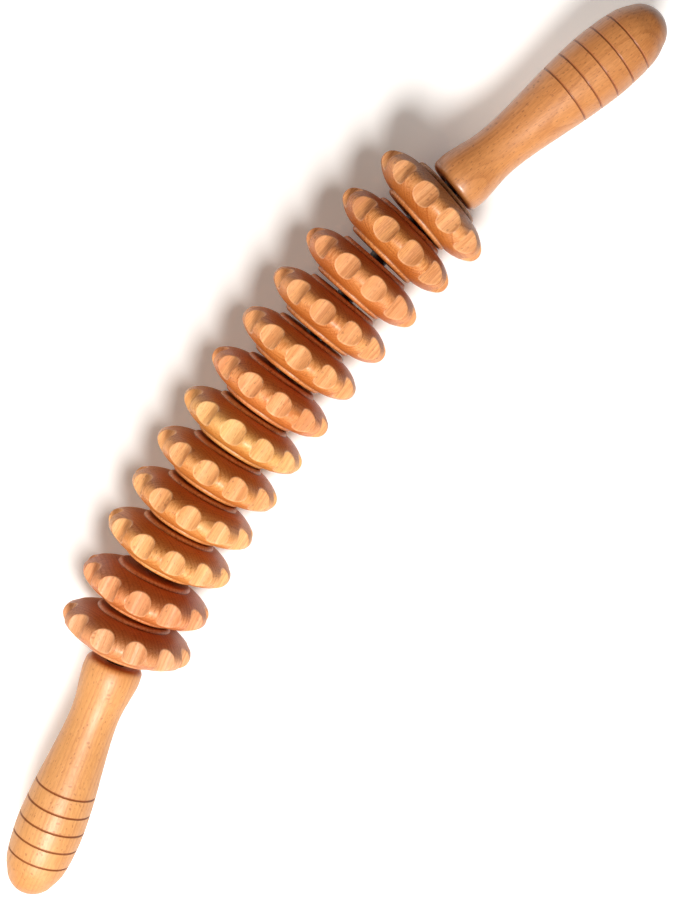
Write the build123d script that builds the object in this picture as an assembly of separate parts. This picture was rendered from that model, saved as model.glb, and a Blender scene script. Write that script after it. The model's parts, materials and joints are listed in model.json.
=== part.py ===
from build123d import *
import math
import os

# A bowed massage stick: scalloped wooden rollers spin on a bent steel rod between two turned handles.
# Units are millimetres. The stick lies on its rollers: +X along the stick, +Y towards the outside of
# the bow, +Z up. The origin is on the surface it lies on, below the middle of its bounding box.

# Rod: a wide bend in the middle and a tighter one towards each end, then straight inside the handles.
# A bend is the stations where it starts and ends, along the rod from its mid-length, and its radius.
rod_diameter = 8.0
rod_bends = [(-118.0, -68.0, 370.0), (-68.0, 80.0, 700.0), (80.0, 124.0, 300.0)]
left_base_station = -123.4
right_base_station = 124.0
rod_end_length = 42.0
rod_end_chamfer = 1.0

# Rollers: one turned section, cut with round notches parallel to the axis
roller_radius = 29.0
hub_width = 19.0
bore_radius = 4.4
bore_chamfer = 0.5
collar_radius = 16.6
collar_height = 1.8
nose_radius = 4.7
nose_half_angle = 52.0
notch_count = 12
notch_cutter_radius = 5.2
notch_depth = 3.7

# Free play between neighbours, measured along the rod from the left handle to the right handle
play = [3.3, 1.2, 2.8, 0.8, 0.8, 0.8, 0.8, 1.4, 1.4, 1.4, 1.9, 1.4, 1.4]
# How far each roller has been turned from having a notch straight up, in degrees
roller_turns = [-15.0, 0.0, 10.0, 2.0, -6.0, -6.0, 12.6, 1.6, -6.5, 14.0, -13.0, -11.0]

# Handles: each point of the outline is a station from the handle's base and a radius
handle_length = 110.6
handle_base_radius = 9.8
handle_base_round = 2.8
handle_base_slope = 0.12
handle_outline = [
    (7.0, 12.75),
    (13.8, 11.8),
    (20.0, 10.85),
    (27.0, 10.55),
    (36.0, 11.05),
    (48.0, 12.3),
    (62.0, 13.85),
    (77.0, 14.8),
    (87.5, 14.45),
    (94.0, 13.75),
    (98.8, 12.75),
]
tip_radius = 11.5
tip_angle = 70.0
groove_count = 5
first_groove_station = 59.9
groove_pitch = 8.2
groove_width = 1.0
halvings = 30

# Threaded inserts: barbed brass bushes, sunk in the handles' bases, that the rod's ends screw into
insert_radius = 5.6
insert_length = 22.0
insert_sink = 1.2
insert_thread_radius = 3.95
barb_radius = 6.1
barb_length = 1.5
barb_count = 5
socket_radius = 5.8
socket_slack = 0.3
rod_hole_radius = 4.3
rod_hole_depth = 45.0

# Turns what is built along Z so that it lies along X
along_x = Rotation(0, 90, 0)


def rod_turn(start, end):
    """Angle in degrees that the rod turns between two stations, where start is below end."""
    turn = 0.0
    for bend_start, bend_end, radius in rod_bends:
        length = min(end, bend_end) - max(start, bend_start)
        turn += max(length, 0.0) / radius
    return math.degrees(turn)


def rod_heading(station):
    """Angle in degrees from +X to the rod's direction at a station. It falls along the rod."""
    return rod_turn(station, 0.0) - rod_turn(0.0, station)


def rod_point(station):
    """Position of the rod's axis at a station along it, from the top of the bow at mid-length."""
    side = math.copysign(1.0, station)
    limits = {0.0, abs(station)}
    for bend_start, bend_end, radius in rod_bends:
        limits.update(side * limit for limit in (bend_start, bend_end) if 0.0 < side * limit < abs(station))
    limits = sorted(limits)
    x, y = 0.0, 0.0
    for near, far in zip(limits[:-1], limits[1:]):
        near_heading = math.radians(rod_heading(side * near))
        far_heading = math.radians(rod_heading(side * far))
        half_turn = abs(far_heading - near_heading) / 2
        chord = (far - near) * (math.sin(half_turn) / half_turn if half_turn else 1.0)
        heading = (near_heading + far_heading) / 2
        x += side * chord * math.cos(heading)
        y += side * chord * math.sin(heading)
    return (x, y, 0.0)


def on_rod(station):
    """Place at a station on the rod, with its X along the rod towards the right handle."""
    return Location(rod_point(station), (0.0, 0.0, rod_heading(station)))


def handle_place(side):
    """Place of a handle's base, with its X along the handle towards its tip."""
    if side > 0:
        return on_rod(right_base_station)
    return on_rod(left_base_station) * Rotation(0, 0, 180)


def roller_stations():
    """Middle of each roller along the rod, worked out from the free play between them."""
    stations = []
    edge = left_base_station
    for gap in play[:-1]:
        stations.append(edge + gap + hub_width / 2)
        edge += gap + hub_width
    return stations


def core_rod():
    """The bent steel rod, swept along its line from one end to the other."""
    left_tip = left_base_station - rod_end_length
    right_tip = right_base_station + rod_end_length
    line = [Line(rod_point(left_tip), rod_point(rod_bends[0][0]))]
    for start, end, radius in rod_bends:
        line.append(ThreePointArc(rod_point(start), rod_point((start + end) / 2), rod_point(end)))
    line.append(Line(rod_point(rod_bends[-1][1]), rod_point(right_tip)))
    start_plane = Plane(on_rod(left_tip) * along_x)
    rod = sweep(start_plane * Circle(rod_diameter / 2), path=Wire(line))
    rims = rod.edges().filter_by(GeomType.CIRCLE).sort_by(Axis.X)
    return chamfer([rims[0], rims[-1]], rod_end_chamfer)


def roller_section():
    """Section of a roller from its bore out to its rim. X is along the axis, Y is the radius."""
    half_hub = hub_width / 2
    face_height = half_hub - collar_height
    half_bore = half_hub - bore_chamfer
    nose_angle = math.radians(nose_half_angle)
    nose_x = nose_radius * math.sin(nose_angle)
    nose_y = roller_radius - nose_radius * (1.0 - math.cos(nose_angle))
    outline = [ThreePointArc((-nose_x, nose_y), (0.0, roller_radius), (nose_x, nose_y))]
    for side in (-1.0, 1.0):
        nose_end = (side * nose_x, nose_y)
        face_end = (side * face_height, collar_radius)
        shoulder = (side * half_hub, collar_radius - collar_height)
        hub_rim = (side * half_hub, bore_radius + bore_chamfer)
        bore_rim = (side * half_bore, bore_radius)
        slope = (side * math.cos(nose_angle), -math.sin(nose_angle))
        outline.append(TangentArc(nose_end, face_end, tangent=slope))
        outline.append(RadiusArc(face_end, shoulder, side * collar_height))
        outline.append(Line(shoulder, hub_rim))
        outline.append(Line(hub_rim, bore_rim))
    outline.append(Line((-half_bore, bore_radius), (half_bore, bore_radius)))
    return make_face(Wire(outline).edges())


def roller():
    """One roller about X at the origin, with a notch straight up."""
    wheel = revolve(roller_section(), Axis.X)
    cutter_height = roller_radius - notch_depth + notch_cutter_radius
    cutter = Pos(0, 0, cutter_height) * along_x * Cylinder(notch_cutter_radius, hub_width)
    for index in range(notch_count):
        wheel -= Rotation(360.0 * index / notch_count, 0, 0) * cutter
    return wheel


def handle_skin():
    """The handle's outline from its base round to where its tip begins. X is along it, Y is the radius."""
    angle = math.radians(tip_angle)
    tip_centre = handle_length - tip_radius
    start = (handle_base_round, handle_base_radius + handle_base_round)
    end = (tip_centre + tip_radius * math.cos(angle), tip_radius * math.sin(angle))
    directions = [(1.0, handle_base_slope), (math.sin(angle), -math.cos(angle))]
    return Spline([start] + handle_outline + [end], tangents=directions)


def handle_section(skin):
    """Half section of the handle without its hole, from its base face to its round tip."""
    base_rim = (0.0, handle_base_radius)
    tip = (handle_length, 0.0)
    outline = [
        RadiusArc(base_rim, skin @ 0, handle_base_round),
        skin,
        RadiusArc(skin @ 1, tip, tip_radius),
        Line(tip, (0.0, 0.0)),
        Line((0.0, 0.0), base_rim),
    ]
    return make_face(Wire(outline).edges())


def skin_radius(skin, station):
    """Radius of the handle's outline at a station, found by halving."""
    low, high = 0.0, 1.0
    for _ in range(halvings):
        middle = (low + high) / 2
        if (skin @ middle).X < station:
            low = middle
        else:
            high = middle
    return (skin @ low).Y


def handle():
    """One turned handle about X, its base at the origin, with thin grooves near its tip."""
    skin = handle_skin()
    body = revolve(handle_section(skin), Axis.X)
    for index in range(groove_count):
        station = first_groove_station + index * groove_pitch
        groove = Torus(skin_radius(skin, station), groove_width / 2)
        body -= Pos(station, 0, 0) * along_x * groove
    socket_depth = insert_sink + insert_length + socket_slack
    socket = along_x * Cylinder(socket_radius, 2 * socket_depth)
    rod_hole = along_x * Cylinder(rod_hole_radius, 2 * rod_hole_depth)
    return body - socket - rod_hole


def threaded_insert():
    """One brass bush about X, from just inside the handle's base, with barbs round its outside."""
    start = Pos(insert_sink, 0, 0)
    bush = start * Pos(insert_length / 2, 0, 0) * along_x * Cylinder(insert_radius, insert_length)
    barb_pitch = insert_length / barb_count
    for index in range(barb_count):
        middle = Pos((index + 0.5) * barb_pitch, 0, 0)
        bush += start * middle * along_x * Cone(barb_radius, insert_radius, barb_length)
    thread = along_x * Cylinder(insert_thread_radius, 4 * insert_length)
    return bush - thread


def build_parts():
    """Every piece in place, moved so that the origin is under the middle of the whole stick."""
    parts = {"core_rod": core_rod()}
    turned_handle = handle()
    bush = threaded_insert()
    for name, side in (("left", -1.0), ("right", 1.0)):
        parts["handle_" + name] = handle_place(side) * turned_handle
        parts["threaded_insert_" + name] = handle_place(side) * bush
    wheel = roller()
    for number, (station, turn) in enumerate(zip(roller_stations(), roller_turns), start=1):
        parts[f"roller_{number:02d}"] = on_rod(station) * Rotation(turn, 0, 0) * wheel
    box = Compound(list(parts.values())).bounding_box()
    to_origin = Pos(-box.center().X, -box.center().Y, -box.min.Z)
    return {name: to_origin * part for name, part in parts.items()}


os.makedirs("parts", exist_ok=True)
for name, part in build_parts().items():
    export_step(part, f"parts/{name}.step")
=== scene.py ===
import json
import math
import random

import bmesh
import bpy
from mathutils import Euler, Matrix, Vector, geometry


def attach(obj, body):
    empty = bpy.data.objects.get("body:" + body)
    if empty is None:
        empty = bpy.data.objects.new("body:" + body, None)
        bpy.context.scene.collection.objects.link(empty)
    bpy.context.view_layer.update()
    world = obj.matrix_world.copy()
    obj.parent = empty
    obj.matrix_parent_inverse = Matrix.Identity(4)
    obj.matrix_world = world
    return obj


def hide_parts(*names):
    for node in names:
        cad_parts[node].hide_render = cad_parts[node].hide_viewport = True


# Massage stick: scalloped beech rollers on a bent steel rod between two turned beech handles.

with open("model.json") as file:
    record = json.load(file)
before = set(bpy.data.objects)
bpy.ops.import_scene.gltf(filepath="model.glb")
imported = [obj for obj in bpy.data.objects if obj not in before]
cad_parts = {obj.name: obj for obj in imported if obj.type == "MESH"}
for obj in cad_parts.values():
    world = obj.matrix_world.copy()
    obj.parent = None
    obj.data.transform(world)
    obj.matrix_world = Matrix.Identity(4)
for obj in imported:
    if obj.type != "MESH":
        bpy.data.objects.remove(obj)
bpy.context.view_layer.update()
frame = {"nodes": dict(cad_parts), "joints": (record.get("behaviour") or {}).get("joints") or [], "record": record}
mm = 0.001


def newNode(tree, kind, inputs=None, **settings):
    node = tree.nodes.new(kind)
    for name, value in settings.items():
        setattr(node, name, value)
    for name, value in (inputs or {}).items():
        node.inputs[name].default_value = value
    return node


def mathNode(tree, operation, first, second=None, third=None, clamp=False):
    node = newNode(tree, "ShaderNodeMath", operation=operation, use_clamp=clamp)
    for slot, value in enumerate((first, second, third)):
        if value is None:
            continue
        if isinstance(value, (int, float)):
            node.inputs[slot].default_value = value
        else:
            tree.links.new(value, node.inputs[slot])
    return node.outputs[0]


def mixColor(tree, amount, first, second, blend="MIX"):
    node = newNode(tree, "ShaderNodeMix", data_type="RGBA", blend_type=blend, clamp_factor=True)
    for name, value in (("Factor_Float", amount), ("A_Color", first), ("B_Color", second)):
        socket = next(s for s in node.inputs if s.identifier == name)
        if isinstance(value, (int, float, tuple)):
            socket.default_value = value
        else:
            tree.links.new(value, socket)
    return next(s for s in node.outputs if s.identifier == "Result_Color")


def fadeNode(tree, value, fromLow, fromHigh, toLow=0.0, toHigh=1.0):
    node = newNode(tree, "ShaderNodeMapRange", interpolation_type="SMOOTHSTEP")
    limits = {"From Min": fromLow, "From Max": fromHigh, "To Min": toLow, "To Max": toHigh}
    for name, number in limits.items():
        node.inputs[name].default_value = number
    tree.links.new(value, node.inputs["Value"])
    return node.outputs["Result"]


def stretchNode(tree, vector, scale):
    node = newNode(tree, "ShaderNodeVectorMath", operation="MULTIPLY")
    node.inputs[1].default_value = scale
    tree.links.new(vector, node.inputs[0])
    return node.outputs[0]


def addSockets(group, ways, sockets):
    for name, kind, value in sockets:
        socket = group.interface.new_socket(name=name, in_out=ways, socket_type=kind)
        if value is not None:
            socket.default_value = value


def finishPiece(name, mesh, material, body, node):
    piece = bpy.data.objects.new(name, mesh)
    bpy.context.scene.collection.objects.link(piece)
    piece.data.materials.append(material)
    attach(piece, body)
    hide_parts(node)
    return piece


woodLook = {
    "ringSpacing": 1.7,        # mm between growth rings
    "ringWobble": 2.2,         # mm that a ring wanders
    "pithDistance": 95.0,      # mm from a piece to the middle of the tree
    "wanderScale": (9.0, 40.0, 40.0),
    "driftScale": (14.0, 55.0, 55.0),
    # mm: along the grain, across it, out from the pith
    "rayCell": (2.3, 0.5, 4.0),
    "fleckCell": (5.2, 1.1, 7.0),
    "fibreCell": (7.0, 0.4, 0.7),
    "poreCell": (1.5, 0.2, 0.2),
    # low and high values that each mask fades between
    "ringRise": (0.25, 0.93),
    "ringForce": (0.35, 1.0),
    "rayEdge": (0.16, 0.32),
    "rayShow": (0.35, 0.75),
    "fleckEdge": (0.08, 0.17),
    "fleckShow": (0.5, 0.8),
    "fibreEdge": (0.3, 0.72),
    "poreEdge": (0.58, 0.75),
    "driftEdge": (0.3, 0.7),
    # how strongly each one darkens the wood
    "driftShade": 0.3,
    "poreShade": 0.34,
    "fleckShade": 1.3,
    # height of the bare surface, and what fibres, pores and rays take off it
    "surface": 0.7,
    "fibreDepth": -0.35,
    "poreDepth": -0.4,
    "rayDepth": -0.5,
}


def makeBeechGroup():
    group = bpy.data.node_groups.new("beechBoard", "ShaderNodeTree")
    addSockets(group, "INPUT", [
        ("Place", "NodeSocketVector", None),
        ("Light", "NodeSocketColor", (0.8, 0.5, 0.28, 1.0)),
        ("Dark", "NodeSocketColor", (0.55, 0.26, 0.11, 1.0)),
        ("Ray Colour", "NodeSocketColor", (0.36, 0.15, 0.06, 1.0)),
        ("Rings", "NodeSocketFloat", 0.45),
        ("Rays", "NodeSocketFloat", 0.6),
        ("Fibre", "NodeSocketFloat", 0.4),
    ])
    addSockets(group, "OUTPUT", [
        ("Color", "NodeSocketColor", None),
        ("Height", "NodeSocketFloat", None),
    ])
    inside = newNode(group, "NodeGroupInput")
    outside = newNode(group, "NodeGroupOutput")
    link = group.links.new
    place = inside.outputs["Place"]

    # wander the grain a little, then measure round and out from the pith
    wander = newNode(group, "ShaderNodeTexNoise", {"Scale": 1.0, "Detail": 2.0, "Roughness": 0.5})
    link(stretchNode(group, place, woodLook["wanderScale"]), wander.inputs["Vector"])
    centred = newNode(group, "ShaderNodeVectorMath", operation="SUBTRACT")
    link(wander.outputs["Color"], centred.inputs[0])
    centred.inputs[1].default_value = (0.5, 0.5, 0.5)
    moved = newNode(group, "ShaderNodeVectorMath", operation="MULTIPLY_ADD")
    link(centred.outputs[0], moved.inputs[0])
    wobble = woodLook["ringWobble"] * mm
    moved.inputs[1].default_value = (0.0, wobble, wobble)
    link(place, moved.inputs[2])
    parts = newNode(group, "ShaderNodeSeparateXYZ")
    link(moved.outputs[0], parts.inputs[0])
    pith = woodLook["pithDistance"] * mm
    out = mathNode(group, "ADD", parts.outputs["Z"], pith)
    outSquare = mathNode(group, "POWER", out, 2.0)
    squares = mathNode(group, "ADD", outSquare, mathNode(group, "POWER", parts.outputs["Y"], 2.0))
    distance = mathNode(group, "SQRT", squares)
    turn = mathNode(group, "ARCTAN2", parts.outputs["Y"], out)
    board = newNode(group, "ShaderNodeCombineXYZ")
    link(parts.outputs["X"], board.inputs[0])
    link(mathNode(group, "MULTIPLY", turn, pith), board.inputs[1])
    link(distance, board.inputs[2])
    board = board.outputs[0]

    # growth rings: soft rise, sharper fall, each ring a little different
    ringCount = mathNode(group, "DIVIDE", distance, woodLook["ringSpacing"] * mm)
    ringPlace = mathNode(group, "FRACT", ringCount)
    ringNumber = newNode(group, "ShaderNodeTexWhiteNoise", noise_dimensions="1D")
    link(mathNode(group, "FLOOR", ringCount), ringNumber.inputs["W"])
    rise = fadeNode(group, ringPlace, *woodLook["ringRise"])
    fall = fadeNode(group, ringPlace, woodLook["ringRise"][1], 1.0, 1.0, 0.0)
    ringForce = fadeNode(group, ringNumber.outputs["Value"], 0.0, 1.0, *woodLook["ringForce"])
    ring = mathNode(group, "MULTIPLY", mathNode(group, "MULTIPLY", rise, fall), ringForce)

    # rays: short dark dashes along the grain
    def cellScale(cell):
        return tuple(1.0 / (size * mm) for size in cell)

    rays = newNode(group, "ShaderNodeTexVoronoi", {"Scale": 1.0, "Randomness": 1.0}, feature="F1")
    link(stretchNode(group, board, cellScale(woodLook["rayCell"])), rays.inputs["Vector"])
    rayShape = fadeNode(group, rays.outputs["Distance"], *woodLook["rayEdge"], 1.0, 0.0)
    rayPick = newNode(group, "ShaderNodeSeparateColor")
    link(rays.outputs["Color"], rayPick.inputs[0])
    rayShow = fadeNode(group, rayPick.outputs[0], *woodLook["rayShow"])
    rayMask = mathNode(group, "MULTIPLY", rayShape, rayShow)

    # flecks: a few longer, darker ones
    flecks = newNode(group, "ShaderNodeTexVoronoi", {"Scale": 1.0, "Randomness": 1.0}, feature="F1")
    link(stretchNode(group, board, cellScale(woodLook["fleckCell"])), flecks.inputs["Vector"])
    fleckShape = fadeNode(group, flecks.outputs["Distance"], *woodLook["fleckEdge"], 1.0, 0.0)
    fleckPick = newNode(group, "ShaderNodeSeparateColor")
    link(flecks.outputs["Color"], fleckPick.inputs[0])
    fleckShow = fadeNode(group, fleckPick.outputs[1], *woodLook["fleckShow"])
    fleckMask = mathNode(group, "MULTIPLY", fleckShape, fleckShow)

    # fibres: long fine streaks
    fibres = newNode(group, "ShaderNodeTexNoise", {"Scale": 1.0, "Detail": 3.0, "Roughness": 0.6})
    link(stretchNode(group, board, cellScale(woodLook["fibreCell"])), fibres.inputs["Vector"])
    fibre = fadeNode(group, fibres.outputs["Fac"], *woodLook["fibreEdge"])

    # pores: the finest specks, dots on the end grain
    pores = newNode(group, "ShaderNodeTexNoise", {"Scale": 1.0, "Detail": 1.0, "Roughness": 0.5})
    link(stretchNode(group, board, cellScale(woodLook["poreCell"])), pores.inputs["Vector"])
    pore = fadeNode(group, pores.outputs["Fac"], *woodLook["poreEdge"])

    # slow colour drift through the board
    drift = newNode(group, "ShaderNodeTexNoise", {"Scale": 1.0, "Detail": 1.0})
    link(stretchNode(group, place, woodLook["driftScale"]), drift.inputs["Vector"])
    driftShade = fadeNode(group, drift.outputs["Fac"], *woodLook["driftEdge"])

    shade = mathNode(group, "MULTIPLY", ring, inside.outputs["Rings"])
    shade = mathNode(group, "MULTIPLY_ADD", fibre, inside.outputs["Fibre"], shade)
    shade = mathNode(group, "MULTIPLY_ADD", driftShade, woodLook["driftShade"], shade)
    shade = mathNode(group, "MULTIPLY_ADD", pore, woodLook["poreShade"], shade, clamp=True)
    color = mixColor(group, shade, inside.outputs["Light"], inside.outputs["Dark"])
    marks = mathNode(group, "MULTIPLY_ADD", fleckMask, woodLook["fleckShade"], rayMask, clamp=True)
    rayAmount = mathNode(group, "MULTIPLY", marks, inside.outputs["Rays"])
    color = mixColor(group, rayAmount, color, inside.outputs["Ray Colour"])
    link(color, outside.inputs["Color"])

    height = mathNode(group, "MULTIPLY_ADD", fibre, woodLook["fibreDepth"], woodLook["surface"])
    height = mathNode(group, "MULTIPLY_ADD", pore, woodLook["poreDepth"], height)
    height = mathNode(group, "MULTIPLY_ADD", marks, woodLook["rayDepth"], height)
    link(height, outside.inputs["Height"])
    return group


beechGroup = makeBeechGroup()


def attributeNode(tree, name):
    node = newNode(tree, "ShaderNodeAttribute", attribute_name=name, attribute_type="GEOMETRY")
    return node.outputs["Fac"]


cameraLook = {
    "place": (0.0742, 0.0134, 0.715),
    "turn": (-0.06, 0.0964, -0.9501),
    "lens": 65.4,
    "sensor": 36.0,
}

camera = bpy.data.objects.new("camera", bpy.data.cameras.new("camera"))
bpy.context.scene.collection.objects.link(camera)
camera.data.lens = cameraLook["lens"]
camera.data.sensor_width = cameraLook["sensor"]
camera.location = cameraLook["place"]
camera.rotation_mode = "ZYX"
camera.rotation_euler = cameraLook["turn"]
bpy.context.scene.camera = camera
print("camera set")


def placeMesh(bm, middle, direction, turned=0.0):
    # piece axis is X; the heading and the roll about the axis are put into the mesh
    roll = Matrix.Rotation(math.radians(turned), 4, "X")
    heading = Matrix.Rotation(math.atan2(direction.y, direction.x), 4, "Z")
    place = Matrix.Translation(middle) @ heading @ roll @ Matrix.Scale(mm, 4)
    bmesh.ops.transform(bm, matrix=place, verts=bm.verts)


def meshFrom(bm, name):
    bmesh.ops.recalc_face_normals(bm, faces=bm.faces)
    mesh = bpy.data.meshes.new(name)
    bm.to_mesh(mesh)
    bm.free()
    for polygon in mesh.polygons:
        polygon.use_smooth = True
    return mesh


def spinOutline(points, steps, marks=None, closed=False):
    # points are (along, radius); marks is {layer: [value per point]}
    bm = bmesh.new()
    layers = {name: bm.verts.layers.float.new(name) for name in (marks or {})}
    verts = []
    for index, (along, radius) in enumerate(points):
        vert = bm.verts.new((along, 0.0, radius))
        for name, layer in layers.items():
            vert[layer] = marks[name][index]
        verts.append(vert)
    pairs = list(zip(verts, verts[1:])) + ([(verts[-1], verts[0])] if closed else [])
    edges = [bm.edges.new(pair) for pair in pairs]
    bmesh.ops.spin(
        bm, geom=verts + edges, cent=(0, 0, 0), axis=(1, 0, 0), angle=math.tau, steps=steps, use_merge=True)
    bmesh.ops.remove_doubles(bm, verts=bm.verts, dist=0.0005)
    return bm


rollerSpec = {
    "radius": 29.0,
    "hubWidth": 19.0,
    "boreRadius": 4.4,
    "boreRound": 0.5,
    "collarRadius": 16.6,
    "collarHeight": 1.8,
    "noseRadius": 4.7,
    "noseAngle": 52.0,
    "faceRadius": 19.0,
    "notches": 12,
    "cutterRadius": 5.2,
    "notchDepth": 3.7,
    "edgeRound": 0.55,         # mm over which a notch's edge is rounded off
    "handWork": 0.22,          # mm that one notch differs from the next
    "smallestRim": 1.1,        # mm, how far the outline's edge line stays from the middle of a lobe
    "rimShare": 0.46,          # where along the outline the notch's edge sits
    # shares of the way from the rim's top to the notch's edge, and from there to the collar
    "rimSteps": [0.0, 0.25, 0.5, 0.72, 0.86, 0.93, 0.97, 1.0],
    "faceSteps": [0.03, 0.07, 0.13, 0.22, 0.34, 0.48, 0.64, 0.82, 0.94, 0.985, 1.0],
    "collarSteps": [0.2, 1, 2, 3, 4, 5, 6],    # sixths of the quarter round
    "flatRadii": [11.0, 7.5],
    "turned": [-15.0, 0.0, 10.0, 2.0, -6.0, -6.0, 12.6, 1.6, -6.5, 14.0, -13.0, -11.0],
    # degrees from the middle of a notch to the middle of the lobe beside it
    "meridians": [0, 1.7, 3.4, 5.0, 6.4, 7.5, 8.3, 8.9, 9.3, 9.7, 10.3, 12.0, 15.0],
}


def noseAndFace():
    # lengths and angles of the two arcs from the top of the rim to the foot of the collar
    spec = rollerSpec
    noseAngle = math.radians(spec["noseAngle"])
    noseMiddle = spec["radius"] - spec["noseRadius"]
    back = spec["faceRadius"] - spec["noseRadius"]
    faceX = -back * math.sin(noseAngle)
    faceY = noseMiddle - back * math.cos(noseAngle)
    endAngle = math.acos((spec["collarRadius"] - faceY) / spec["faceRadius"])
    noseLength = spec["noseRadius"] * noseAngle
    fullLength = noseLength + spec["faceRadius"] * (endAngle - noseAngle)
    return noseAngle, noseMiddle, faceX, faceY, noseLength, fullLength


def outlinePoint(arc):
    # (along, radius) at a distance along the outline from the top of the rim
    noseAngle, noseMiddle, faceX, faceY, noseLength, fullLength = noseAndFace()
    size, side = abs(arc), math.copysign(1.0, arc)
    if size <= noseLength:
        angle = size / rollerSpec["noseRadius"]
        along = rollerSpec["noseRadius"] * math.sin(angle)
        radius = noseMiddle + rollerSpec["noseRadius"] * math.cos(angle)
    else:
        angle = noseAngle + (size - noseLength) / rollerSpec["faceRadius"]
        along = faceX + rollerSpec["faceRadius"] * math.sin(angle)
        radius = faceY + rollerSpec["faceRadius"] * math.cos(angle)
    return side * along, radius


def arcAtRadius(radius):
    # distance along the outline at which it has come down to a radius
    noseAngle, noseMiddle, faceX, faceY, noseLength, fullLength = noseAndFace()
    if radius >= rollerSpec["radius"]:
        return 0.0
    if radius > noseMiddle + rollerSpec["noseRadius"] * math.cos(noseAngle):
        return rollerSpec["noseRadius"] * math.acos((radius - noseMiddle) / rollerSpec["noseRadius"])
    return noseLength + rollerSpec["faceRadius"] * (
        math.acos((radius - faceY) / rollerSpec["faceRadius"]) - noseAngle)


def rollerOutline():
    # closed outline from the bore round by one face, the rim and the other face
    spec = rollerSpec
    fullLength = noseAndFace()[-1]
    half = spec["hubWidth"] / 2
    share = spec["rimShare"]
    outer = [share * step for step in spec["rimSteps"]]
    outer += [share + (1.0 - share) * step for step in spec["faceSteps"]]
    side = []
    for step in reversed(outer):
        side.append((outlinePoint(step * fullLength), step * fullLength))
    foot, flat = spec["collarRadius"], spec["collarRadius"] - spec["collarHeight"]
    collar = []
    for step in spec["collarSteps"]:
        angle = math.radians(step * 15.0)
        along = half - spec["collarHeight"] * (1.0 - math.sin(angle))
        collar.append(((along, flat + spec["collarHeight"] * math.cos(angle)), -1.0))
    flatRadii = [flat - 0.5, *spec["flatRadii"], spec["boreRadius"] + 2 * spec["boreRound"]]
    flats = [((half, radius), -1.0) for radius in flatRadii]
    bore = []
    for step in range(0, 4):
        angle = math.radians(step * 30.0)
        along = half - spec["boreRound"] * (1.0 - math.cos(angle))
        bore.append(((along, spec["boreRadius"] + spec["boreRound"] * (1.0 - math.sin(angle))), -1.0))
    right = bore[::-1] + flats[::-1] + collar[::-1] + side
    left = [((-along, radius), arc) for (along, radius), arc in right[:-1]]
    whole = right + left[::-1]
    # painted shade: points at the crease where the face meets the collar are marked for a dark tint that stands in
    # for the shade in that crease
    creaseShade = [1.0 if abs(radius - foot) < 0.06 else 0.0 for (along, radius), arc in whole]
    return [point for point, arc in whole], [arc for point, arc in whole], creaseShade


def notchFloor(degrees, notch):
    # radius of a notch's floor at an angle from its middle; far away from it there is no floor
    reach = rollerSpec["radius"] - notch["depth"] + notch["cutter"]
    angle = math.radians(degrees)
    inside = notch["cutter"] ** 2 - (reach * math.sin(angle)) ** 2
    if inside <= 0.0:
        return 2 * rollerSpec["radius"]
    return reach * math.cos(angle) - math.sqrt(inside)


def roundedMin(first, second, width):
    near = max(width - abs(first - second), 0.0) / width
    return min(first, second) - near * near * width / 4


def carveNotches(bm, seed):
    # slide each vertex round and along the outline to the notch's edge, then sink it to the floor
    spec = rollerSpec
    draw = random.Random(seed)
    arcLayer = bm.verts.layers.float["arc"]
    notchLayer = bm.verts.layers.float.new("notch")
    edgeLayer = bm.verts.layers.float.new("edge")
    halfCount = len(spec["meridians"]) - 1
    count = spec["notches"] * 2 * halfCount
    pitch = 360.0 / spec["notches"]
    fullLength = noseAndFace()[-1]
    notches = []
    for number in range(spec["notches"]):
        notches.append({
            "depth": spec["notchDepth"] + draw.uniform(-1, 1) * spec["handWork"],
            "cutter": spec["cutterRadius"] + draw.uniform(-1, 1) * spec["handWork"],
            "shift": draw.uniform(-1, 1) * spec["handWork"] * 2,
            "slope": draw.uniform(-1, 1) * spec["handWork"] * 0.12,
        })
    for vert in bm.verts:
        angle = math.degrees(math.atan2(-vert.co.y, vert.co.z)) % 360.0
        number, step = divmod(round(angle * count / 360.0) % count, 2 * halfCount)
        widest = spec["meridians"][-1]
        if step <= halfCount:
            offset = spec["meridians"][step] * pitch / 2 / widest
        else:
            offset = -spec["meridians"][2 * halfCount - step] * pitch / 2 / widest
            number = (number + 1) % spec["notches"]
        notch = notches[number]
        radius = math.hypot(vert.co.y, vert.co.z)
        along = vert.co.x
        arc = vert[arcLayer]
        if arc >= 0.0:
            floor = notchFloor(offset, notch)
            rim = max(arcAtRadius(floor), spec["smallestRim"])
            share = spec["rimShare"] * fullLength
            if arc < share:
                arc = rim * arc / share
            else:
                arc = rim + (fullLength - rim) * (arc - share) / (fullLength - share)
            along, radius = outlinePoint(math.copysign(arc, vert.co.x))
            floor += notch["slope"] * along
            # the notch mask is 1 on the notch floors: it lays a painted paler tint there, standing in for how
            # brightly they are lit, and makes them rougher
            vert[notchLayer] = min(max((radius - floor) / spec["edgeRound"] + 0.3, 0.0), 1.0)
            vert[edgeLayer] = max(1.0 - abs(radius - floor) / spec["edgeRound"], 0.0)
            radius = roundedMin(radius, floor, spec["edgeRound"])
        sway = notch["shift"] * (1.0 - abs(offset) * 2 / pitch)
        turn = math.radians(number * pitch + offset + sway)
        vert.co = (along, -radius * math.sin(turn), radius * math.cos(turn))


def markEndGrain(bm):
    # faces that look along the piece show end grain
    layer = bm.verts.layers.float.new("endGrain")
    bmesh.ops.recalc_face_normals(bm, faces=bm.faces)
    bm.normal_update()
    for vert in bm.verts:
        vert[layer] = abs(vert.normal.x) ** 2


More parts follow.
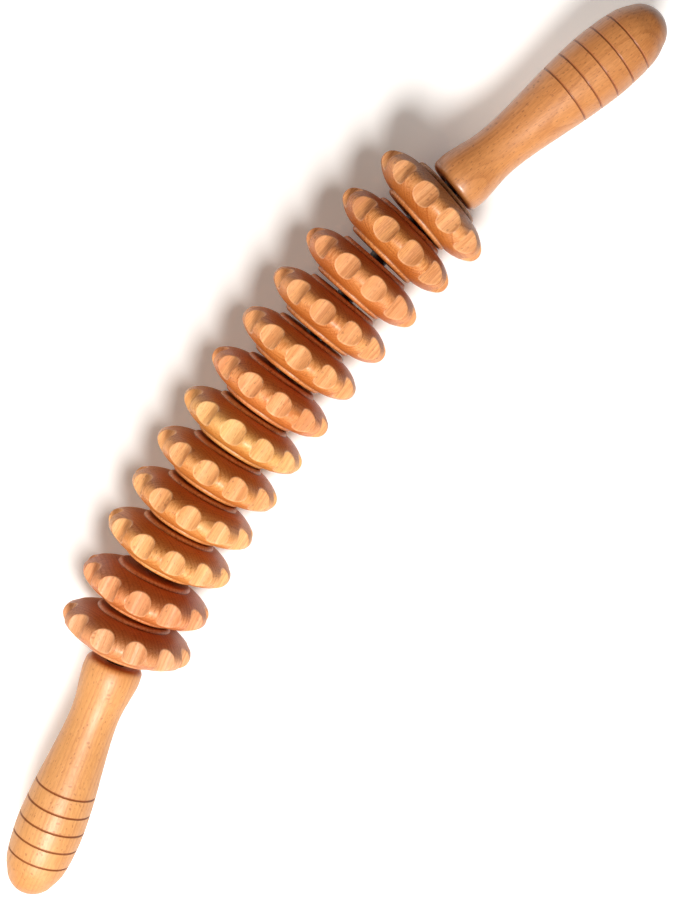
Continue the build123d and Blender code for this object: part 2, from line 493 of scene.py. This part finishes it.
def makeRoller(number, joint):
    middle = Vector(joint["pos_m"])
    direction = Vector(joint["axis"])
    turned = rollerSpec["turned"][number - 1]
    points, arcs, creaseShades = rollerOutline()
    bm = spinOutline(points, rollerSpec["notches"] * 2 * (len(rollerSpec["meridians"]) - 1),
                     {"arc": arcs, "creaseShade": creaseShades}, closed=True)
    carveNotches(bm, number)
    markEndGrain(bm)
    placeMesh(bm, middle, direction, turned)
    mesh = meshFrom(bm, f"roller{number:02d}")
    tone = dict(rollerTone)
    tone.update(rollerTonesAndLight[number - 1])
    material = makeBeech(f"rollerBeech{number:02d}", middle, direction, turned, tone, number)
    body = joint["child"]
    return finishPiece(f"turnedRoller{number:02d}", mesh, material, body, body)


handleSpec = {
    "length": 110.6,
    "neckStation": 27.0,       # how far from its base the grip's place in the record is
    "baseRadius": 9.8,
    "baseRound": 2.8,
    "outline": [
        (2.8, 12.6), (7.0, 12.75), (13.8, 11.8), (20.0, 10.85), (27.0, 10.55), (36.0, 11.05), (48.0, 12.3),
        (62.0, 13.85), (77.0, 14.8), (87.5, 14.45), (94.0, 13.75), (98.8, 12.75), (103.0, 10.81)],
    "tipRadius": 11.5,
    "tipAngle": 70.0,
    "socket": (5.8, 23.5),     # radius and depth
    "rodHole": (4.3, 45.0),
    "segments": 112,
    "step": 1.7,
    "firstGroove": 59.9,
    "groovePitch": 8.2,
    "grooves": 5,
    "grooveHalf": 0.5,
    "grooveDepth": 0.5,
    "grooveSteps": [-1.8, -1.15, -1.0, -0.75, -0.4, 0.0, 0.4, 0.75, 1.0, 1.15, 1.8],
    "clearOfGroove": 2.2,      # half widths of a groove in which there are no other steps
}


def smoothLine(points, steps):
    # one smooth line through the points
    line = []
    last = len(points) - 1
    for index in range(last):
        before, start = Vector(points[max(index - 1, 0)]), Vector(points[index])
        end, after = Vector(points[index + 1]), Vector(points[min(index + 2, last)])
        leave, arrive = start + (end - before) / 6, end - (after - start) / 6
        line += geometry.interpolate_bezier(start, leave, arrive, end, steps)[:-1]
    return line + [Vector(points[-1])]


def radiusAt(line, station):
    for start, end in zip(line, line[1:]):
        if station <= end.x:
            return start.y + (end.y - start.y) * (station - start.x) / (end.x - start.x)
    return line[-1].y


def handleOutline():
    spec = handleSpec
    line = smoothLine(spec["outline"], 12)
    grooves = [spec["firstGroove"] + spec["groovePitch"] * index for index in range(spec["grooves"])]
    half = spec["grooveHalf"]
    stations = []
    station = spec["baseRound"]
    while station < spec["outline"][-1][0]:
        if min(abs(station - groove) for groove in grooves) > spec["clearOfGroove"] * half:
            stations.append(station)
        station += spec["step"]
    for groove in grooves:
        stations += [groove + half * share for share in spec["grooveSteps"]]
    points, burns = [], []

    def add(along, radius, burn=0.0):
        points.append((along, radius))
        burns.append(burn)

    rodRadius, rodDepth = spec["rodHole"]
    socketRadius, socketDepth = spec["socket"]
    add(rodDepth, 0.0)
    add(rodDepth, rodRadius)
    add(socketDepth, rodRadius)
    add(socketDepth, socketRadius)
    add(0.4, socketRadius)
    add(0.0, socketRadius + 0.4)
    add(0.0, 8.0)
    for step in range(0, 6):
        angle = math.radians(step * 18.0)
        across, up = 1.0 - math.cos(angle), math.sin(angle)
        add(spec["baseRound"] * across, spec["baseRadius"] + spec["baseRound"] * up)
    for station in sorted(stations)[1:]:
        away = min(abs(station - groove) for groove in grooves) / half
        sink = spec["grooveDepth"] * math.sqrt(1.0 - away * away) if away < 1.0 else 0.0
        add(station, radiusAt(line, station) - sink, min(max(1.6 - 1.35 * away, 0.0), 1.0))
    tipMiddle = spec["length"] - spec["tipRadius"]
    for step in range(0, 14):
        angle = math.radians(spec["tipAngle"] * (1.0 - step / 14.0))
        add(tipMiddle + spec["tipRadius"] * math.cos(angle), spec["tipRadius"] * math.sin(angle))
    add(spec["length"], 0.0)
    return points, burns


def makeHandle(side, mount):
    tone = handleTones[side]
    direction = Vector(mount["axis"])
    middle = Vector(mount["pos_m"]) - direction * handleSpec["neckStation"] * mm
    points, burns = handleOutline()
    bm = spinOutline(points, handleSpec["segments"], {"burn": burns})
    markEndGrain(bm)
    placeMesh(bm, middle, direction)
    mesh = meshFrom(bm, f"handle{side.title()}")
    material = makeBeech(f"handleBeech{side.title()}", middle, direction, 0.0, tone, tone["seed"])
    name = f"turnedHandle{side.title()}"
    return finishPiece(name, mesh, material, "core", f"handle_{side}")


rollerTone = {
    "light": (0.93, 0.46, 0.19), "dark": (0.6, 0.2, 0.055), "ray": (0.38, 0.11, 0.03),
    "rings": 0.55, "rays": 0.65, "fibre": 0.62, "rough": 0.4, "coat": 0.14, "coatRough": 0.25, "gloss": 0.4}

# what differs from roller to roller, from the left handle to the right one: the beech's own tone, and on the
# rollers also painted light, paler on rollers 3 to 8, which are lit more brightly
rollerTonesAndLight = [
    {"light": (0.9, 0.45, 0.22), "dark": (0.58, 0.2, 0.065)},
    {"light": (0.93, 0.43, 0.19), "dark": (0.62, 0.19, 0.06)},
    {"light": (1.0, 0.54, 0.21), "dark": (0.68, 0.26, 0.07)},
    {"light": (1.0, 0.53, 0.21), "dark": (0.68, 0.26, 0.07)},
    {"light": (1.0, 0.52, 0.2), "dark": (0.68, 0.25, 0.065)},
    {"light": (1.0, 0.6, 0.23), "dark": (0.72, 0.3, 0.075)},
    {"light": (1.0, 0.48, 0.2), "dark": (0.68, 0.22, 0.06)},
    {"light": (0.99, 0.49, 0.19), "dark": (0.64, 0.22, 0.055)},
    {"light": (0.97, 0.46, 0.17)},
    {"light": (0.96, 0.45, 0.18), "dark": (0.61, 0.19, 0.05)},
    {"light": (0.92, 0.43, 0.15), "dark": (0.52, 0.16, 0.035), "fibre": 0.75},
    {"light": (0.88, 0.43, 0.17), "dark": (0.57, 0.19, 0.05)},
]

handleTones = {
    "left": {
        "seed": 31, "light": (0.8, 0.4, 0.14), "dark": (0.56, 0.22, 0.06), "ray": (0.4, 0.13, 0.035),
        "rings": 0.4, "rays": 0.6, "fibre": 0.4, "rough": 0.46, "coat": 0.45, "coatRough": 0.4,
        "gloss": 0.5},
    "right": {
        "seed": 57, "light": (0.78, 0.34, 0.115), "dark": (0.52, 0.18, 0.045), "ray": (0.36, 0.1, 0.025),
        "rings": 0.35, "rays": 0.7, "fibre": 0.5, "rough": 0.42, "coat": 0.9, "coatRough": 0.3,
        "gloss": 0.6},
}


beechFinish = {
    "endGrain": (0.64, 0.4, 0.15, 1.0),
    # name of the mask: how much of the tint it lays on, and the tint
    "tints": {
        # painted light: the notch floors are tinted paler, standing in for how brightly they are lit
        "notch": (0.16, (0.98, 0.62, 0.34, 1.0)),
        "edge": (0.25, (0.98, 0.66, 0.4, 1.0)),
        # painted shade: a dark tint laid in the crease where a roller's face meets its collar
        "creaseShade": (0.6, (0.1, 0.04, 0.02, 1.0)),
        "burn": (0.85, (0.26, 0.055, 0.004, 1.0)),
    },
    # roughness of the lowest grain above the tone's own, and what height, notches and burns change
    "lowRough": 0.08,
    "heightRough": -0.12,
    "notchRough": 0.14,
    "burnRough": 0.3,
    "bump": {"Strength": 0.5, "Distance": 0.00018},
}


def makeBeech(name, middle, direction, turned, tone, seed):
    draw = random.Random(seed * 7 + 3)
    material = bpy.data.materials.new(name)
    material.use_nodes = True
    tree = material.node_tree
    link = tree.links.new
    shader = tree.nodes["Principled BSDF"]
    where = newNode(tree, "ShaderNodeTexCoord")
    mapping = newNode(tree, "ShaderNodeMapping", vector_type="TEXTURE")
    link(where.outputs["Object"], mapping.inputs["Vector"])
    mapping.inputs["Location"].default_value = middle - direction * draw.uniform(0.0, 0.6)
    heading = math.atan2(direction.y, direction.x)
    roll = math.radians(turned) + draw.uniform(0, math.tau)
    mapping.inputs["Rotation"].default_value = (roll, 0.0, heading)
    board = newNode(tree, "ShaderNodeGroup")
    board.node_tree = beechGroup
    link(mapping.outputs[0], board.inputs["Place"])
    for socket, key in (("Light", "light"), ("Dark", "dark"), ("Ray Colour", "ray")):
        board.inputs[socket].default_value = (*tone[key], 1.0)
    for socket, key in (("Rings", "rings"), ("Rays", "rays"), ("Fibre", "fibre")):
        board.inputs[socket].default_value = tone[key]

    masks = {mask: attributeNode(tree, mask) for mask in ("endGrain", *beechFinish["tints"])}
    color = mixColor(tree, masks["endGrain"], board.outputs["Color"], beechFinish["endGrain"], "MULTIPLY")
    for mask, (amount, tint) in beechFinish["tints"].items():
        color = mixColor(tree, mathNode(tree, "MULTIPLY", masks[mask], amount), color, tint)
    link(color, shader.inputs["Base Color"])

    lowRough = tone["rough"] + beechFinish["lowRough"]
    rough = mathNode(tree, "MULTIPLY_ADD", board.outputs["Height"], beechFinish["heightRough"], lowRough)
    rough = mathNode(tree, "MULTIPLY_ADD", masks["notch"], beechFinish["notchRough"], rough)
    rough = mathNode(tree, "MULTIPLY_ADD", masks["burn"], beechFinish["burnRough"], rough, clamp=True)
    link(rough, shader.inputs["Roughness"])
    shader.inputs["Coat Weight"].default_value = tone["coat"]
    shader.inputs["Coat Roughness"].default_value = tone["coatRough"]
    shader.inputs["Specular IOR Level"].default_value = tone["gloss"]
    bump = newNode(tree, "ShaderNodeBump", beechFinish["bump"])
    link(board.outputs["Height"], bump.inputs["Height"])
    link(bump.outputs["Normal"], shader.inputs["Normal"])
    return material


metalLook = {
    # painted shade: the rod's steel is given a dark colour, standing in for the shade in the gaps between the
    # rollers
    "shadeDarkenedSteel": {
        "nodes": ["core_rod"], "color": (0.2, 0.2, 0.21), "rough": 0.5, "scale": (60.0, 1800.0, 1800.0)},
    "turnedBrass": {
        "nodes": ["threaded_insert_left", "threaded_insert_right"],
        "color": (0.72, 0.5, 0.2), "rough": 0.3, "scale": (1500.0, 200.0, 200.0)},
}


def makeMetal(name, look):
    material = bpy.data.materials.new(name)
    material.use_nodes = True
    tree = material.node_tree
    shader = tree.nodes["Principled BSDF"]
    where = newNode(tree, "ShaderNodeTexCoord")
    streaks = newNode(tree, "ShaderNodeTexNoise", {"Scale": 1.0, "Detail": 3.0})
    tree.links.new(stretchNode(tree, where.outputs["Object"], look["scale"]), streaks.inputs["Vector"])
    shade = fadeNode(tree, streaks.outputs["Fac"], 0.3, 0.7)
    darker = (*(channel * 0.7 for channel in look["color"]), 1.0)
    tree.links.new(mixColor(tree, shade, (*look["color"], 1.0), darker), shader.inputs["Base Color"])
    tree.links.new(mathNode(tree, "MULTIPLY_ADD", shade, 0.15, look["rough"]), shader.inputs["Roughness"])
    shader.inputs["Metallic"].default_value = 1.0
    return material


for joint, number in zip(frame["joints"], range(1, 13)):
    makeRoller(number, joint)
print("rollers made")
mounts = {mount["name"]: mount for mount in frame["record"]["mounts"]}
for side in handleTones:
    makeHandle(side, mounts[f"{side}_grip"])
print("handles made")
for name, look in metalLook.items():
    metal = makeMetal(name, look)
    for node in look["nodes"]:
        frame["nodes"][node].data.materials.clear()
        frame["nodes"][node].data.materials.append(metal)
print("metal finished")


stageLook = {
    "floorSize": 6.0,
    "floorColor": (0.93, 0.93, 0.93, 1.0),
    "floorRough": 0.7,
    "floorGlow": (0.12, 0.4),  # how much paler the floor is seen, under the stick and round it
    "nearFade": (0.1, 0.2),    # distances between which the floor's glow rises
    "farFade": (0.5, 1.6),     # distances between which it runs into the backdrop
    "backdrop": (0.92, 0.92, 0.92, 1.0),
    "glow": 0.03,              # how much of the backdrop's light reaches the stick
    # name: degrees round from +X, degrees up, distance, size, watts, colour
    "lamps": {
        "key": (212, 60, 1.4, 0.5, 23.5, (1.0, 0.98, 0.95)),
        "low": (226, 20, 1.4, 0.5, 4.5, (1.0, 0.82, 0.6)),
        "side": (136, 45, 1.4, 0.7, 3.4, (1.0, 0.78, 0.58)),
        "rim": (86, 16, 1.4, 0.6, 3.0, (1.0, 0.75, 0.56)),
    },
}


def makeStage():
    bm = bmesh.new()
    bmesh.ops.create_grid(bm, x_segments=1, y_segments=1, size=stageLook["floorSize"])
    mesh = bpy.data.meshes.new("floor")
    bm.to_mesh(mesh)
    bm.free()
    floor = bpy.data.objects.new("floor", mesh)
    bpy.context.scene.collection.objects.link(floor)
    material = bpy.data.materials.new("paleFloor")
    material.use_nodes = True
    tree = material.node_tree
    shader = tree.nodes["Principled BSDF"]
    shader.inputs["Base Color"].default_value = stageLook["floorColor"]
    shader.inputs["Roughness"].default_value = stageLook["floorRough"]
    shader.inputs["Emission Color"].default_value = stageLook["floorColor"]
    # the floor is seen paler than it is lit, least under the stick, and far away it runs into the backdrop
    where = newNode(tree, "ShaderNodeTexCoord").outputs["Object"]
    away = newNode(tree, "ShaderNodeVectorMath", operation="LENGTH")
    tree.links.new(where, away.inputs[0])
    nearGlow, farGlow = stageLook["floorGlow"]
    near = fadeNode(tree, away.outputs["Value"], *stageLook["nearFade"], nearGlow, farGlow)
    far = fadeNode(tree, away.outputs["Value"], *stageLook["farFade"], 0.0, 1.0 - farGlow)
    glow = mathNode(tree, "ADD", near, far)
    seen = newNode(tree, "ShaderNodeLightPath").outputs["Is Camera Ray"]
    tree.links.new(mathNode(tree, "MULTIPLY", seen, glow), shader.inputs["Emission Strength"])
    mesh.materials.append(material)


def makeWorld():
    # the backdrop is seen pale, and lights the stick only a little
    world = bpy.data.worlds.new("studio")
    world.use_nodes = True
    tree = world.node_tree
    background = tree.nodes["Background"]
    background.inputs["Color"].default_value = stageLook["backdrop"]
    seen = newNode(tree, "ShaderNodeLightPath").outputs["Is Camera Ray"]
    strength = mathNode(tree, "MULTIPLY_ADD", seen, 1.0 - stageLook["glow"], stageLook["glow"])
    tree.links.new(strength, background.inputs["Strength"])
    bpy.context.scene.world = world
    bpy.context.scene.view_settings.view_transform = "Standard"


def makeLamps():
    for name, (around, up, distance, size, watts, color) in stageLook["lamps"].items():
        lamp = bpy.data.lights.new(name, "AREA")
        lamp.shape = "DISK"
        lamp.size = size
        lamp.energy = watts
        lamp.color = color
        holder = bpy.data.objects.new(name, lamp)
        aim = Euler((0.0, math.radians(90 - up), math.radians(around))).to_matrix()
        holder.location = aim @ Vector((0.0, 0.0, distance))
        holder.rotation_euler = aim.to_euler()
        bpy.context.scene.collection.objects.link(holder)


makeStage()
makeWorld()
makeLamps()
print("stage set")
